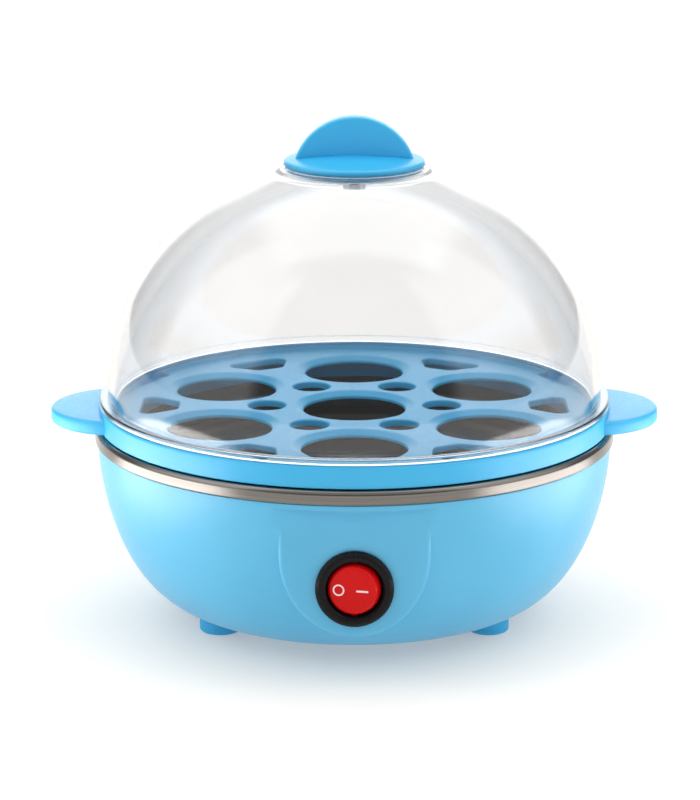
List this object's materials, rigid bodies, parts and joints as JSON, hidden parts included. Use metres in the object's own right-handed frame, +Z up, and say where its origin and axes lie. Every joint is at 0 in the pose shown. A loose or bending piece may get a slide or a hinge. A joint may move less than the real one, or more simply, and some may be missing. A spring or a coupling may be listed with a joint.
{
  "type": "egg cooker",
  "caption": "Electric egg cooker: clear dome lid with a knob, removable egg tray with two ears, steel heating pan, rounded blue base with a round rocker switch.",
  "frame": {"origin": "on the bowl's axis, at the level the feet stand on", "axes": "+Z up, +X through the right ear, -Y out through the switch face"},
  "size_m": [0.19, 0.1624, 0.1576],
  "materials": {
    "blue_plastic": "glossy light blue plastic",
    "clear_plastic": "clear polished plastic",
    "stainless_steel": "brushed stainless steel",
    "zinc_steel": "zinc-plated steel",
    "aluminium": "cast, matt",
    "brass": "plain",
    "silicone": "translucent white, matt",
    "black_plastic": "black, satin",
    "red_plastic": "red, glossy",
    "white_nylon": "white, satin",
    "blue_rubber": "light blue, matt",
    "red_wire": "red insulation",
    "blue_wire": "blue insulation",
    "earth_wire": "green and yellow insulation",
    "white_sleeve": "white fibre sleeve"
  },
  "bodies": {
    "base": {"base_shell": "blue_plastic", "bottom_cover": "blue_plastic", "heating_pan": "stainless_steel", "heating_element": "stainless_steel", "assembly_screw_front_left": "zinc_steel", "assembly_screw_front_right": "zinc_steel", "assembly_screw_rear": "zinc_steel", "assembly_nut_front_left": "zinc_steel", "assembly_nut_front_right": "zinc_steel", "assembly_nut_rear": "zinc_steel", "cover_screw_front": "zinc_steel", "cover_screw_left": "zinc_steel", "cover_screw_right": "zinc_steel", "element_pin_left": "zinc_steel", "element_pin_right": "zinc_steel", "support_bracket": "zinc_steel", "heater_screw_left": "zinc_steel", "heater_screw_right": "zinc_steel", "earth_screw": "zinc_steel", "heater_plate": "aluminium", "thermostat_cap": "aluminium", "thermostat_tab_left": "brass", "thermostat_tab_right": "brass", "switch_tab_common": "brass", "switch_tab_load": "brass", "earth_tag": "brass", "pan_gasket": "silicone", "switch_housing": "black_plastic", "cord_gland": "black_plastic", "thermostat_body": "black_plastic", "terminal_block": "white_nylon", "foot_front_left": "blue_rubber", "foot_front_right": "blue_rubber", "foot_rear": "blue_rubber", "wire_live": "red_wire", "wire_switch": "red_wire", "wire_thermostat": "red_wire", "wire_heater": "red_wire", "wire_neutral": "blue_wire", "wire_earth": "earth_wire", "thermal_fuse": "white_sleeve"},
    "egg_tray": {"egg_tray": "blue_plastic"},
    "lid": {"lid_dome": "clear_plastic", "lid_knob": "blue_plastic", "knob_screw": "zinc_steel", "knob_washer": "silicone"},
    "rocker": {"rocker": "red_plastic", "rocker_plunger": "white_nylon", "rocker_spring": "stainless_steel"},
    "contact_lever": {"contact_lever": "brass"}
  },
  "joints": [
    {"name": "tray_lift", "type": "slide", "parent": "base", "child": "egg_tray", "axis": [0, 0, 1], "range_m": [0, 0.07]},
    {"name": "lid_lift", "type": "slide", "parent": "egg_tray", "child": "lid", "axis": [0, 0, 1], "range_m": [0, 0.12]},
    {"name": "rocker_turn", "type": "hinge", "parent": "base", "child": "rocker", "pos_m": [0, -0.0756, 0.0304], "axis": [0, 0, 1], "range_deg": [0, 24]},
    {"name": "lever_turn", "type": "hinge", "parent": "base", "child": "contact_lever", "pos_m": [0, -0.0659, 0.0304], "axis": [0, 0, 1], "range_deg": [-20, 0]}
  ],
  "couplings": [
    {"joint": "lever_turn", "follows": "rocker_turn", "ratio": -0.8333}
  ]
}
